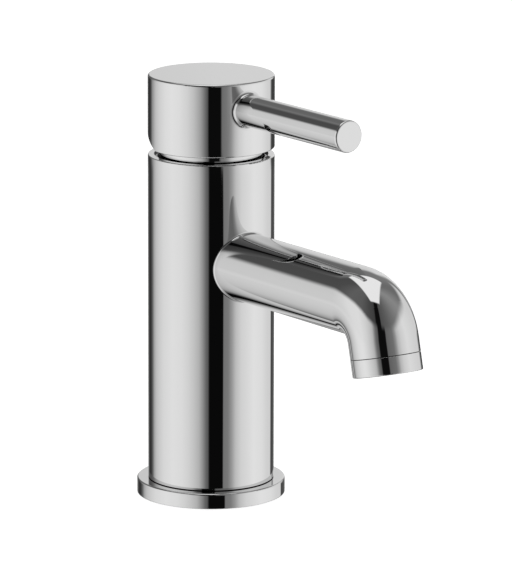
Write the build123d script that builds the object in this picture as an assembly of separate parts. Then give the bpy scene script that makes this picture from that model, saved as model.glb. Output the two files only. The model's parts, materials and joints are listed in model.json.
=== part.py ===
from build123d import *
import os
from math import cos, radians, sin

# Single-lever bathroom basin mixer: a round brass column on a base ring, a tubular
# spout, and a cylindrical head with a pin lever that works a 35 mm ceramic cartridge.
# Millimetres. +Z up, origin at the centre of the base on the basin's deck.
# The spout and the lever both point along -Y, towards the user; hot is at -X.

# ---- Driving dimensions: column, base and head ----
BODY_R = 22.5          # outside of the column and of the head
BODY_TOP = 123.5       # rim of the column
HEAD_BOTTOM = 126.1    # underside of the head above the rim
HEAD_TOP = 152.2       # overall height
BASE_R = 26.5          # base ring
BASE_T = 5.6           # base ring's thickness

# ---- Driving dimensions: spout ----
SPOUT_R = 12.2
SPOUT_BORE_R = 8.2
SPOUT_SPIGOT_R = 10.4  # brazed into the column
SPOUT_SPIGOT_L = 3.6
SPOUT_Z = 86.1         # height of the straight run's axis
SPOUT_RUN = 87.4       # from the column's axis to the start of the bend
BEND_R = 14.4          # centreline radius of the bend
BEND_DEG = 76.5
NOZZLE_L = 11.7        # straight end after the bend, aerator housing included

# ---- Driving dimensions: aerator ----
AERATOR_H = 6.3        # visible height of the screwed-in housing
SPIGOT_H = 5.5         # its threaded spigot inside the spout
SPIGOT_R = 10.9
SOCKET_R = 11.0        # the spout's threaded socket
WASHER_T = 1.6
CAGE_R = 9.5
LIP_R = 8.6            # opening of the housing's bottom lip
LIP_T = 0.9

# ---- Driving dimensions: lever ----
LEVER_R = 5.7
LEVER_Z = 142.5
LEVER_TIP = 81.2       # from the column's axis to the lever's flat end
LEVER_SEAT = 20.9      # flat floor of the spot-face that the lever's foot sits on
LEVER_FOOT_R = 7.15    # foot that fills the spot-face
LEVER_COVE_R = 1.4     # cove from the lever's side down to the head's skin
LEVER_THREAD_R = 4.0   # M8
LEVER_THREAD_END = 12.8
GRUB_R = 2.5           # M5
GRUB_OUTER = 11.5

# ---- Driving dimensions: valve mechanism ----
PIVOT_Z = 118.0        # pin that the lever stem rocks on
BALL_DROP = 8.5        # pivot to the centre of the stem's ball
BALL_R = 2.4
STEM_HALF = 4.0        # half of the 8 mm square stem
STEM_TOP = 145.2
SEAT_Z = 92.0          # floor that the cartridge stands on
DISC_T = 3.5           # each ceramic disc
DISC_OFFSET = 1.75     # moving disc's centre behind the axis when closed

# ---- Water ports ----
INLET_X, INLET_Y = 8.5, -5.0
INLET_R = 3.5
INLET_THREAD_R = 4.5   # M10 x 1 core
INLET_THREAD_L = 14.0
MIXED_Y = 7.0
MIXED_R = 4.0
MIXED_Z = 84.0
STUD_Y = 11.0
STUD_R = 3.4           # M8 core
STUD_L = 16.0
DISC_INLET_X, DISC_INLET_Y, DISC_INLET_R = 5.8, -3.7, 2.3
DISC_MIXED_Y, DISC_MIXED_R = 5.6, 3.0
PEG_X, PEG_Y, PEG_R, PEG_L = 12.5, 7.5, 1.5, 2.5

STOP_HALF = 1.6        # half width of the turning stops
STOP_DEG = 60.0        # from the back to each stop on the housing

# ---- Fits ----
GAP = 0.05             # running and push fits between turned parts
SEAM = 0.12            # edge break on both sides of a visible joint
FOOT_GAP_H = 0.3       # shadow gap where the column stands on its ring
FOOT_GAP_DEPTH = 0.5
PIN_R = 1.5

# ---- Heights worked out from the ones above ----
SPIGOT_FOOT_R = BODY_R - 2.0
CARTRIDGE_R = 17.3
CARTRIDGE_BORE_R = CARTRIDGE_R + 0.2
HOUSING_BORE_R = 15.7
BASE_PLUG_TOP = SEAT_Z + 6.0
BASE_PLUG_RIM = SEAT_Z + 2.5
FIXED_TOP = BASE_PLUG_TOP + DISC_T
MOVING_TOP = FIXED_TOP + DISC_T
CARRIER_PLATE_TOP = MOVING_TOP + 2.2
CARRIER_TOP = MOVING_TOP + 6.0
FLANGE_BOTTOM = CARRIER_PLATE_TOP + 0.4
FLANGE_TOP = FLANGE_BOTTOM + 3.0
HOUSING_SHOULDER = FLANGE_TOP + 2.9
NECK_TOP = HOUSING_SHOULDER + 6.0
NECK_BORE_R, NECK_R = 12.1, 14.2
TURRET_R = NECK_BORE_R - 0.08
TURRET_TOP = PIVOT_Z + 3.8
THREAD_BORE_R = 19.1   # column's mouth, M38 x 1.5
THREAD_START = SEAT_Z + 20.0
MOUTH_R, MOUTH_H = 20.3, 0.8  # shadow gap between the rim and the cover ring
NUT_R = THREAD_BORE_R - 0.15
NUT_BORE_R = NECK_R + 0.2
COVER_R = 18.7
COVER_TOP = HEAD_BOTTOM + 0.9
COVER_RING_Z = NECK_TOP + 2.2
HEAD_EDGE_R = 0.75
HEAD_FOOT_R = 0.4
HEAD_WALL = 2.8
HEAD_ROOF = 3.5
BOSS_R = 8.5
BOSS_BOTTOM = HEAD_BOTTOM + 5.0
RELIEF_DEG = 25.0      # slope of the cut that lets the head tip back
RELIEF_START = 2.1     # where that cut leaves the head's underside


def disc(radius, bottom, top, x=0.0, y=0.0):
    """A vertical cylinder between two heights."""
    standing = Cylinder(radius, top - bottom, align=(Align.CENTER, Align.CENTER, Align.MIN))
    return Pos(x, y, bottom) * standing


def ring(outer, inner, bottom, top, x=0.0, y=0.0):
    """A flat-ended tube between two heights."""
    return disc(outer, bottom, top, x, y) - disc(inner, bottom - 1, top + 1, x, y)


def rod_forward(radius, start, end, height):
    """A cylinder along -Y between two distances in front of the axis."""
    lying = Rot(90, 0, 0) * Cylinder(radius, end - start, align=(Align.CENTER, Align.CENTER, Align.MIN))
    return Pos(0, -start, height) * lying


def block(x_half, y_low, y_high, bottom, top):
    """A box centred on X."""
    box = Box(2 * x_half, y_high - y_low, top - bottom, align=(Align.CENTER, Align.MIN, Align.MIN))
    return Pos(0, y_low, bottom) * box


def turned(points):
    """A solid of revolution about Z from (radius, height) corners."""
    outline = make_face(Polyline(*[(r, 0, z) for r, z in points], close=True))
    return revolve(outline, Axis.Z)


def round_at(solid, radius, height, fillet_r):
    """Rounds the circular edges of one radius at one height."""
    rims = [
        e
        for e in solid.edges().filter_by(GeomType.CIRCLE)
        if abs(e.radius - radius) < 0.01 and abs(e.center().Z - height) < 0.01
    ]
    return fillet(rims, fillet_r)


# ---------------------------------------------------------------- base and column
GROOVE_IN, GROOVE_OUT, GROOVE_H = 22.6, 25.2, 1.5


def base_ring():
    """Flat ring that the column stands in, with a groove for the deck seal."""
    body = ring(BASE_R, SPIGOT_FOOT_R + GAP, 0, BASE_T)
    body -= ring(GROOVE_OUT, GROOVE_IN, -1, GROOVE_H)
    body = round_at(body, BASE_R, BASE_T, 0.6)
    return round_at(body, BASE_R, 0, 0.3)


def deck_seal():
    """Rubber ring pressed flush into the base ring's groove."""
    return ring(GROOVE_OUT - GAP, GROOVE_IN + GAP, 0, GROOVE_H)


def column():
    """Cast and turned brass column: inlets, risers, cartridge chamber and outlet."""
    body = disc(BODY_R, BASE_T, BODY_TOP) + disc(SPIGOT_FOOT_R, 0, BASE_T)
    body = round_at(body, BODY_R, BODY_TOP, 0.4)
    body -= ring(BODY_R + 1, BODY_R - FOOT_GAP_DEPTH, BASE_T, BASE_T + FOOT_GAP_H)
    body -= disc(CARTRIDGE_BORE_R, SEAT_Z, BODY_TOP + 1)
    body -= disc(THREAD_BORE_R, THREAD_START, BODY_TOP + 1)
    body -= disc(MOUTH_R, BODY_TOP - MOUTH_H, BODY_TOP + 1)
    for side in (-1, 1):
        x = side * INLET_X
        body -= disc(INLET_R, -1, SEAT_Z + 1, x, INLET_Y)
        body -= disc(INLET_THREAD_R, -1, INLET_THREAD_L, x, INLET_Y)
        body -= disc(PEG_R + 0.1, SEAT_Z - PEG_L - 0.3, SEAT_Z + 1, side * PEG_X, PEG_Y)
    body -= disc(STUD_R, -1, STUD_L, 0, STUD_Y)
    body -= disc(MIXED_R, MIXED_Z, SEAT_Z + 1, 0, MIXED_Y)
    body -= rod_forward(MIXED_R, -MIXED_Y - MIXED_R, BODY_R + 1, MIXED_Z)
    return body - rod_forward(SPOUT_SPIGOT_R + GAP, BODY_R - SPOUT_SPIGOT_L, BODY_R + 1, SPOUT_Z)


# ---------------------------------------------------------------- spout and aerator
def bend_end():
    """Centre of the tube where its bend ends."""
    y = -SPOUT_RUN - BEND_R * sin(radians(BEND_DEG))
    return Vector(0, y, SPOUT_Z - BEND_R * (1 - cos(radians(BEND_DEG))))


def nozzle_frame():
    """Local frame at the outlet: +Z runs back up the stream."""
    down = Vector(0, -cos(radians(BEND_DEG)), -sin(radians(BEND_DEG)))
    centre = bend_end() + down * NOZZLE_L
    return Location((centre.X, centre.Y, centre.Z), (BEND_DEG - 90, 0, 0))


def spout_form(radius, lowest):
    """Straight run, bend and straight end of one radius, down to a local height."""
    run = rod_forward(radius, 5, SPOUT_RUN, SPOUT_Z)
    section = Pos(0, -SPOUT_RUN, SPOUT_Z) * (Plane.XZ * Circle(radius))
    axis = Axis((0, -SPOUT_RUN, SPOUT_Z - BEND_R), (1, 0, 0))
    bend = revolve(section, axis, BEND_DEG)
    end = nozzle_frame() * disc(radius, lowest, NOZZLE_L)
    return run + bend + end


def edge_break(height, rise):
    """Ring that takes a 45 degree edge off the tube's outside, above or below a height."""
    size = abs(rise)
    return turned([(SPOUT_R - size, height), (SPOUT_R + 0.01, height), (SPOUT_R + 0.01, height + rise), (SPOUT_R, height + rise)])


def spout():
    """Brass tube saddle-cut to the column, with a threaded socket in its end."""
    tube = spout_form(SPOUT_R, AERATOR_H) - spout_form(SPOUT_BORE_R, AERATOR_H - 1)
    tube -= nozzle_frame() * edge_break(AERATOR_H, SEAM)
    tube -= nozzle_frame() * disc(SOCKET_R, AERATOR_H - 1, AERATOR_H + SPIGOT_H + WASHER_T)
    tube -= disc(BODY_R, 0, BODY_TOP)
    spigot = rod_forward(SPOUT_SPIGOT_R, BODY_R - SPOUT_SPIGOT_L, BODY_R, SPOUT_Z)
    return tube + (spigot - rod_forward(SPOUT_BORE_R, 0, BODY_R + 1, SPOUT_Z))


def aerator_housing():
    """Chromed sleeve that screws into the spout and holds the insert on its lip."""
    top = AERATOR_H + SPIGOT_H
    shell = disc(SPOUT_R, 0, AERATOR_H) + disc(SPIGOT_R, AERATOR_H, top)
    shell = round_at(shell, SPOUT_R, 0, 0.45) - edge_break(AERATOR_H, -SEAM)
    shell -= disc(CAGE_R + GAP, LIP_T, top + 1)
    shell -= disc(LIP_R, -1, LIP_T + 1)
    return nozzle_frame() * shell


CAGE_FLOOR, CAGE_H, CAGE_WALL = 1.8, 8.0, 1.1
JET_R, JET_PITCH = 0.8, 2.25


def jet_places(pitch, rings):
    """Hexagonal grid of points, out to a number of rings."""
    places = []
    for q in range(-rings, rings + 1):
        for r in range(-rings, rings + 1):
            if abs(q + r) <= rings:
                places.append((pitch * (q + r / 2), pitch * r * 0.8660254))
    return places


def aerator_cage():
    """Plastic cup with a grid of jets in its floor."""
    floor = LIP_T + CAGE_FLOOR
    cup = disc(CAGE_R, LIP_T, LIP_T + CAGE_H) - disc(CAGE_R - CAGE_WALL, floor, LIP_T + CAGE_H + 1)
    jets = [disc(JET_R, 0, floor + 1, x, y) for x, y in jet_places(JET_PITCH, 3)]
    return nozzle_frame() * (cup - jets)


def aerator_diffuser():
    """Drilled plate on a post that breaks the stream into drops."""
    low = LIP_T + CAGE_FLOOR
    plate = disc(CAGE_R - CAGE_WALL - GAP, low + 2.6, low + 4.0) + disc(1.0, low, low + 2.7)
    drops = [disc(0.45, low + 2, low + 5, x, y) for x, y in jet_places(2.6, 2) if (x, y) != (0, 0)]
    return nozzle_frame() * (plate - drops)


def aerator_screen():
    """Domed strainer over the insert."""
    low = LIP_T + CAGE_H
    outer = [(8.8, low), (8.8, low + 0.7), (6.6, low + 2.4), (3.4, low + 3.3), (0, low + 3.6)]
    inner = [(0, low + 3.1), (3.2, low + 2.8), (6.2, low + 1.9), (8.0, low + 0.5), (8.0, low)]
    return nozzle_frame() * turned(outer + inner)


def aerator_washer():
    """Flat rubber washer between the housing's spigot and the spout."""
    low = AERATOR_H + SPIGOT_H
    return nozzle_frame() * ring(SPIGOT_R, CAGE_R, low, low + WASHER_T)


# ---------------------------------------------------------------- cartridge, fixed parts
SEAL_R, SEAL_H = 5.0, 1.2
LUG_R, LUG_X = 1.4, 14.0


def port_centres():
    """Centres and bores of the hot, cold and mixed ports in the seat."""
    return [(-INLET_X, INLET_Y, INLET_R), (INLET_X, INLET_Y, INLET_R), (0, MIXED_Y, MIXED_R)]


def disc_ports(bottom, top):
    """The three ports as they pass through the ceramic."""
    inlets = [disc(DISC_INLET_R, bottom, top, s * DISC_INLET_X, DISC_INLET_Y) for s in (-1, 1)]
    return inlets + [disc(DISC_MIXED_R, bottom, top, 0, DISC_MIXED_Y)]


def cartridge_base():
    """Plastic foot with three ports, two pegs for the seat and lugs for the disc."""
    foot = disc(CARTRIDGE_R, SEAT_Z, BASE_PLUG_RIM) + disc(HOUSING_BORE_R - 0.1, BASE_PLUG_RIM, BASE_PLUG_TOP)
    foot -= ring(HOUSING_BORE_R + 1, O_RING_IN_R, O_RING_Z - O_RING_HALF, O_RING_Z + O_RING_HALF)
    for side in (-1, 1):
        foot += disc(PEG_R, SEAT_Z - PEG_L, SEAT_Z, side * PEG_X, PEG_Y)
        foot += disc(LUG_R, BASE_PLUG_TOP, BASE_PLUG_TOP + 2.5, side * LUG_X, 0)
    for x, y, r in port_centres():
        foot -= disc(r, SEAT_Z - 1, SEAT_Z + 4, x, y)
        foot -= disc(SEAL_R, SEAT_Z - 1, SEAT_Z + SEAL_H, x, y)
    return foot - disc_ports(SEAT_Z + 3, BASE_PLUG_TOP + 1)


O_RING_Z = BASE_PLUG_RIM + 1.7
O_RING_HALF = 0.85
O_RING_IN_R = HOUSING_BORE_R - 1.45


def cartridge_o_ring():
    """O-ring between the cartridge's foot and its housing."""
    section_r = 0.7
    return Pos(0, 0, O_RING_Z) * Torus(HOUSING_BORE_R - section_r - 0.02, section_r)


def port_seals():
    """Three rubber rings between the cartridge and its seat."""
    return [ring(SEAL_R - GAP, r, SEAT_Z, SEAT_Z + SEAL_H, x, y) for x, y, r in port_centres()]


def fixed_disc():
    """Ceramic disc with the three ports, held by the foot's lugs."""
    plate = disc(14.6, BASE_PLUG_TOP, FIXED_TOP) - disc_ports(BASE_PLUG_TOP - 1, FIXED_TOP + 1)
    return plate - [disc(LUG_R + 0.1, BASE_PLUG_TOP - 1, FIXED_TOP + 1, s * LUG_X, 0) for s in (-1, 1)]


def cartridge_housing():
    """Plastic case that closes over the discs, with a neck for the swivel."""
    case = disc(CARTRIDGE_R, BASE_PLUG_RIM, HOUSING_SHOULDER) + disc(NECK_R, HOUSING_SHOULDER, NECK_TOP)
    case -= disc(HOUSING_BORE_R, BASE_PLUG_RIM - 1, FLANGE_TOP + 0.15)
    case -= disc(NECK_BORE_R, FLANGE_TOP, NECK_TOP + 1)
    windows = [Rot(0, 0, a) * block(1.5, 14.5, 19, BASE_PLUG_TOP + 5.5, FLANGE_BOTTOM) for a in range(30, 390, 60)]
    stop = block(STOP_HALF, 13.3, 15, NECK_TOP - 1, NECK_TOP + 1.6) & disc(NECK_R, NECK_TOP - 1, NECK_TOP + 1.6)
    return (case - windows) + [Rot(0, 0, side * STOP_DEG) * stop for side in (-1, 1)]


def retaining_nut():
    """Slotted brass nut that holds the cartridge on its seat."""
    nut = ring(NUT_R, NUT_BORE_R, HOUSING_SHOULDER, NECK_TOP)
    slots = [Rot(0, 0, a) * block(1.6, 12, 20, NECK_TOP - 2, NECK_TOP + 1) for a in range(0, 360, 60)]
    return nut - slots


COVER_INNER_R, COVER_LIP_R = 17.2, 13.8
COVER_GROOVE_R, COVER_GROOVE_HALF = 17.5, 0.8


def cover_ring():
    """Chromed ring in the column's mouth that hides the nut under the head."""
    shell = turned([
        (COVER_INNER_R, NECK_TOP), (COVER_R, NECK_TOP), (COVER_R, COVER_TOP - 0.9), (COVER_R - 0.9, COVER_TOP),
        (COVER_LIP_R, COVER_TOP + 0.9), (COVER_LIP_R, COVER_TOP - 0.3), (COVER_INNER_R, COVER_TOP - 0.9),
    ])
    # The inner wall is thickened where the O-ring's groove would leave it thin.
    shell += ring(COVER_INNER_R + 0.1, 16.0, COVER_RING_Z - 1.6, COVER_RING_Z + 1.6)
    groove = ring(COVER_R + 1, COVER_GROOVE_R, COVER_RING_Z - COVER_GROOVE_HALF, COVER_RING_Z + COVER_GROOVE_HALF)
    return shell - groove


def cover_o_ring():
    """O-ring that grips the cover ring in the column's mouth."""
    section_r = 0.75
    return Pos(0, 0, COVER_RING_Z) * Torus(THREAD_BORE_R - section_r - 0.03, section_r)


# ---------------------------------------------------------------- cartridge, moving parts
def moving_disc():
    """Ceramic disc with a mixing pocket in its underside."""
    plate = disc(11.3, FIXED_TOP, MOVING_TOP, 0, DISC_OFFSET)
    pocket = disc(4.2, FIXED_TOP - 1, FIXED_TOP + 2) + disc(3.0, FIXED_TOP - 1, FIXED_TOP + 2, 0, 8)
    plate -= pocket + block(3.0, 0, 8, FIXED_TOP - 1, FIXED_TOP + 2)
    return plate - [disc(1.3, MOVING_TOP - 1.2, MOVING_TOP + 1, s * 7.5, DISC_OFFSET) for s in (-1, 1)]


GUIDE_HALF = 5.5
GUIDE_BACK, GUIDE_FRONT = DISC_OFFSET + 6.5, DISC_OFFSET - 6.5
DISC_TRAVEL = 3.6


def disc_carrier():
    """Plastic slide that the stem's ball pushes to and fro with the disc."""
    slide = disc(11.3, MOVING_TOP, CARRIER_PLATE_TOP, 0, DISC_OFFSET)
    slide += block(GUIDE_HALF, GUIDE_FRONT, GUIDE_BACK, CARRIER_PLATE_TOP, CARRIER_TOP)
    slide += [disc(1.2, MOVING_TOP - 1.1, MOVING_TOP, s * 7.5, DISC_OFFSET) for s in (-1, 1)]
    ball_z = PIVOT_Z - BALL_DROP
    half = BALL_R + 0.13
    return slide - block(half, -half, half, ball_z - BALL_R - 0.15, CARRIER_TOP + 1)


def swivel_carrier():
    """Plastic turret that turns in the housing's neck and guides the slide."""
    turret = disc(15.4, FLANGE_BOTTOM, FLANGE_TOP) + disc(TURRET_R, FLANGE_TOP, TURRET_TOP)
    turret -= block(GUIDE_HALF + 0.1, GUIDE_FRONT - DISC_TRAVEL - 0.4, GUIDE_BACK + 0.4, FLANGE_BOTTOM - 1,
                    CARRIER_TOP + 0.3)
    turret -= block(STEM_HALF + 0.25, -7.6, 7.6, CARRIER_TOP, TURRET_TOP + 1)
    return turret - Pos(0, 0, PIVOT_Z) * (Rot(0, 90, 0) * Cylinder(PIN_R, 40))


def pivot_pin():
    """Steel pin through the turret and the stem."""
    return Pos(0, 0, PIVOT_Z) * (Rot(0, 90, 0) * Cylinder(PIN_R - 0.02, 2 * TURRET_R - 0.6))


def stop_ring():
    """Ring clipped round the turret; its lug meets the housing's stops at each end."""
    hoop = ring(12.9, TURRET_R + 0.02, NECK_TOP + 0.1, NECK_TOP + 1.7)
    return hoop + block(STOP_HALF, 12.6, NECK_R - 0.1, NECK_TOP + 0.1, NECK_TOP + 1.7)


# ---------------------------------------------------------------- handle
def stem():
    """Square steel stem with a ball at its foot, rocking on the pin."""
    ball_z = PIVOT_Z - BALL_DROP
    square = block(STEM_HALF, -STEM_HALF, STEM_HALF, PIVOT_Z - 3.4, STEM_TOP)
    square = chamfer(square.edges().group_by(Axis.Z)[-1], 0.5)
    shank = disc(1.7, ball_z, PIVOT_Z - 3.3) + Pos(0, 0, ball_z) * Sphere(BALL_R)
    return square + shank - Pos(0, 0, PIVOT_Z) * (Rot(0, 90, 0) * Cylinder(PIN_R + 0.03, 20))


def relief():
    """Wedge cut from the head's back so that it clears the column when it tips."""
    reach = 2 * BODY_R
    wedge = Pos(0, RELIEF_START, HEAD_BOTTOM) * (Rot(RELIEF_DEG, 0, 0) * block(reach, 0, reach, -reach, 0))
    return wedge


def handle_head():
    """Cast head: a thick-roofed cup with a square socket and the lever's boss."""
    cup = disc(BODY_R, HEAD_BOTTOM, HEAD_TOP)
    cup = round_at(cup, BODY_R, HEAD_TOP, HEAD_EDGE_R)
    cup = round_at(cup, BODY_R, HEAD_BOTTOM, HEAD_FOOT_R)
    cup -= disc(BODY_R - HEAD_WALL, HEAD_BOTTOM - 1, HEAD_TOP - HEAD_ROOF)
    cup -= relief()
    cup += disc(BOSS_R, BOSS_BOTTOM, HEAD_TOP - HEAD_ROOF)
    cup += block(6.5, -BODY_R + HEAD_WALL / 2, 0, LEVER_Z - 6.3, HEAD_TOP - HEAD_ROOF) & disc(BODY_R - 1, 0, HEAD_TOP)
    cup -= block(STEM_HALF + 0.06, -STEM_HALF - 0.06, STEM_HALF + 0.06, BOSS_BOTTOM - 1, STEM_TOP + 0.6)
    cup -= rod_forward(LEVER_FOOT_R + GAP, LEVER_SEAT, BODY_R + 2, LEVER_Z)
    cup -= rod_forward(LEVER_THREAD_R, LEVER_THREAD_END, BODY_R, LEVER_Z)
    return cup - rod_forward(GRUB_R, 0, LEVER_THREAD_END + 1, LEVER_Z)


def lever_foot():
    """Foot whose face carries on the head's skin and sweeps up to the lever in a cove."""
    joined = disc(BODY_R, LEVER_Z - 12, LEVER_Z + 12) + rod_forward(LEVER_R, 0, 30, LEVER_Z)
    saddle = [e for e in joined.edges() if e.geom_type not in (GeomType.CIRCLE, GeomType.LINE)]
    return fillet(saddle, LEVER_COVE_R) & rod_forward(LEVER_FOOT_R, LEVER_SEAT, 28, LEVER_Z)


def lever_rod():
    """Solid pin lever with a coved foot and a threaded spigot."""
    rod = rod_forward(LEVER_R, LEVER_SEAT, LEVER_TIP, LEVER_Z)
    rod = fillet(rod.edges().group_by(Axis.Y)[0], 0.55) + lever_foot()
    return rod + rod_forward(LEVER_THREAD_R - GAP, LEVER_THREAD_END + 0.1, LEVER_SEAT, LEVER_Z)


def grub_screw():
    """Socket set screw that locks the head on the stem, behind the lever."""
    screw = rod_forward(GRUB_R - GAP, STEM_HALF, GRUB_OUTER, LEVER_Z)
    key = Pos(0, -GRUB_OUTER + 3, LEVER_Z) * (Rot(90, 0, 0) * extrude(RegularPolygon(1.44, 6), 5))
    return screw - key


NODES = {
    "base_ring": base_ring,
    "deck_seal": deck_seal,
    "column": column,
    "spout": spout,
    "aerator_housing": aerator_housing,
    "aerator_cage": aerator_cage,
    "aerator_diffuser": aerator_diffuser,
    "aerator_screen": aerator_screen,
    "aerator_washer": aerator_washer,
    "cartridge_base": cartridge_base,
    "cartridge_o_ring": cartridge_o_ring,
    "port_seals": port_seals,
    "fixed_disc": fixed_disc,
    "cartridge_housing": cartridge_housing,
    "retaining_nut": retaining_nut,
    "cover_ring": cover_ring,
    "cover_o_ring": cover_o_ring,
    "moving_disc": moving_disc,
    "disc_carrier": disc_carrier,
    "swivel_carrier": swivel_carrier,
    "pivot_pin": pivot_pin,
    "stop_ring": stop_ring,
    "stem": stem,
    "handle_head": handle_head,
    "lever_rod": lever_rod,
    "grub_screw": grub_screw,
}

os.makedirs("parts", exist_ok=True)
for name, make in NODES.items():
    made = make()
    solids = made if isinstance(made, list) else [made]
    export_step(Compound(children=[s for item in solids for s in item.solids()]), f"parts/{name}.step")
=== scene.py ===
"""Looks of a single-lever basin mixer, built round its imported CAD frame."""

import json
import logging
import math
from dataclasses import dataclass, field
from enum import Enum
from typing import Callable, Sequence

import bmesh
import bpy
from mathutils import Matrix, Vector


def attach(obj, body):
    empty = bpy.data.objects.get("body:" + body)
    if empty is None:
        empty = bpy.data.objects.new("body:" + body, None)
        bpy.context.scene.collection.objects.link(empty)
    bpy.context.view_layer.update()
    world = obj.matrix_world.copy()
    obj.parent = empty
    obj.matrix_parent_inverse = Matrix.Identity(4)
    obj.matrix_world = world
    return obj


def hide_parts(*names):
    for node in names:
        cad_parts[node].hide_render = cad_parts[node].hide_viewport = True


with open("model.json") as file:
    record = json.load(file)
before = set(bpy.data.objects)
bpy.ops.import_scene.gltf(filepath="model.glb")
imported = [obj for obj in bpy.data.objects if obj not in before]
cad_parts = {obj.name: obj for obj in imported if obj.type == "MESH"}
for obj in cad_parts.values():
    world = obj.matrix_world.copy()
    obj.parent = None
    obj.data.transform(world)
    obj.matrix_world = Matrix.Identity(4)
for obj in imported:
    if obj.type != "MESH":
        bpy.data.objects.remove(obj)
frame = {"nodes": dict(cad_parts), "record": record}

log = logging.getLogger("basin_mixer")

MM = 0.001
NEAR = 0.001 * MM  # two places closer than this count as the same
MERGE = 0.0001 * MM  # two corners closer than this become one

Stops = Sequence[tuple[float, float]]
Socket = bpy.types.NodeSocket
Corner = bmesh.types.BMVert
Edge = bmesh.types.BMEdge
Rows = dict[Corner, list[Corner]]


EVEN = (1.0, 1.0, 1.0)  # a pattern that is the same along each axis
TURNED = (1.0, 1.0, 12.0)  # a pattern of fine rings, as on turned metal


def linear(grey: float) -> float:
    """Light level of a display grey.

    Args:
        grey: Display grey from 0 to 255.

    Returns:
        The same grey as a linear level from 0 to 1.
    """
    share = grey / 255
    return share / 12.92 if share <= 0.04045 else ((share + 0.055) / 1.055) ** 2.4


class Shade:
    """A node tree with short calls for the nodes that the finishes and the studio use."""

    def __init__(self, tree: bpy.types.NodeTree) -> None:
        """Empties the tree.

        Args:
            tree: The node tree of a material or a world.
        """
        tree.nodes.clear()
        self.tree = tree

    def node(self, kind: str, **settings: object) -> bpy.types.Node:
        """Adds a node.

        Args:
            kind: The node's type name without its ShaderNode prefix.
            **settings: Attributes to set on the node.

        Returns:
            The new node.
        """
        made = self.tree.nodes.new("ShaderNode" + kind)
        for name, value in settings.items():
            setattr(made, name, value)
        return made

    def feed(self, socket: Socket, value: Socket | float | tuple) -> None:
        """Links or sets a socket.

        Args:
            socket: The input to feed.
            value: Another node's output, or a plain value.
        """
        if isinstance(value, bpy.types.NodeSocket):
            self.tree.links.new(value, socket)
        else:
            socket.default_value = value

    def math(self, operation: str, *values: Socket | float, clamp: bool = False) -> Socket:
        """Adds a Math node.

        Args:
            operation: Blender's name of the operation.
            *values: The operation's inputs in order.
            clamp: True to keep the result between 0 and 1.

        Returns:
            The node's output.
        """
        made = self.node("Math", operation=operation, use_clamp=clamp)
        for socket, value in zip(made.inputs, values):
            self.feed(socket, value)
        return made.outputs[0]

    def step(self, value: Socket | float, start: Socket | float, end: Socket | float) -> Socket:
        """Rises smoothly from 0 to 1.

        Args:
            value: What is compared.
            start: Where the rise starts.
            end: Where it ends.

        Returns:
            The output, from 0 to 1.
        """
        made = self.node("MapRange", interpolation_type="SMOOTHSTEP")
        for name, fed in (("Value", value), ("From Min", start), ("From Max", end)):
            self.feed(made.inputs[name], fed)
        return made.outputs["Result"]

    def mix(self, share: Socket | float, low: Socket | float, high: Socket | float) -> Socket:
        """Blends two numbers.

        Args:
            share: 0 for the first, 1 for the second.
            low: The first number.
            high: The second number.

        Returns:
            The blend.
        """
        made = self.node("Mix", data_type="FLOAT")
        for socket, value in zip(made.inputs[:4], (share, None, low, high)):
            if value is not None:
                self.feed(socket, value)
        return made.outputs[0]

    def ramp(self, value: Socket, stops: Stops, interpolation: str = "LINEAR") -> Socket:
        """Reads a grey from a row of stops.

        Args:
            value: Where to read, from 0 to 1.
            stops: Pairs of place and level.
            interpolation: Blender's name of the way between stops.

        Returns:
            The level as a number.
        """
        made = self.node("ValToRGB")
        ramp = made.color_ramp
        ramp.interpolation = interpolation
        while len(ramp.elements) < len(stops):
            ramp.elements.new(1.0)
        for element, (place, level) in zip(ramp.elements, stops):
            element.position = place
            element.color = (level, level, level, 1.0)
        self.feed(made.inputs[0], value)
        return made.outputs[0]

    def noise(self, scale: float, detail: float, stretch: tuple[float, float, float]) -> Socket:
        """Adds noise on the piece's own coordinates.

        Args:
            scale: Waves to the metre.
            detail: Octaves of finer noise.
            stretch: Scale along each axis.

        Returns:
            The noise as a number about 0.5.
        """
        place = self.node("TexCoord").outputs["Object"]
        if stretch != EVEN:
            turned = self.node("Mapping")
            self.feed(turned.inputs["Vector"], place)
            turned.inputs["Scale"].default_value = stretch
            place = turned.outputs[0]
        made = self.node("TexNoise")
        self.feed(made.inputs["Vector"], place)
        made.inputs["Scale"].default_value = scale
        made.inputs["Detail"].default_value = detail
        return made.outputs[0]


# ------------------------------------------------------------------ finishes
GRAIN_DETAIL = 4.0  # octaves of the roughness pattern
RELIEF_DETAIL = 2.0  # octaves of the bumps
NOISE_SPAN = (0.3, 0.7)  # where nearly all of the noise lies


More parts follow.
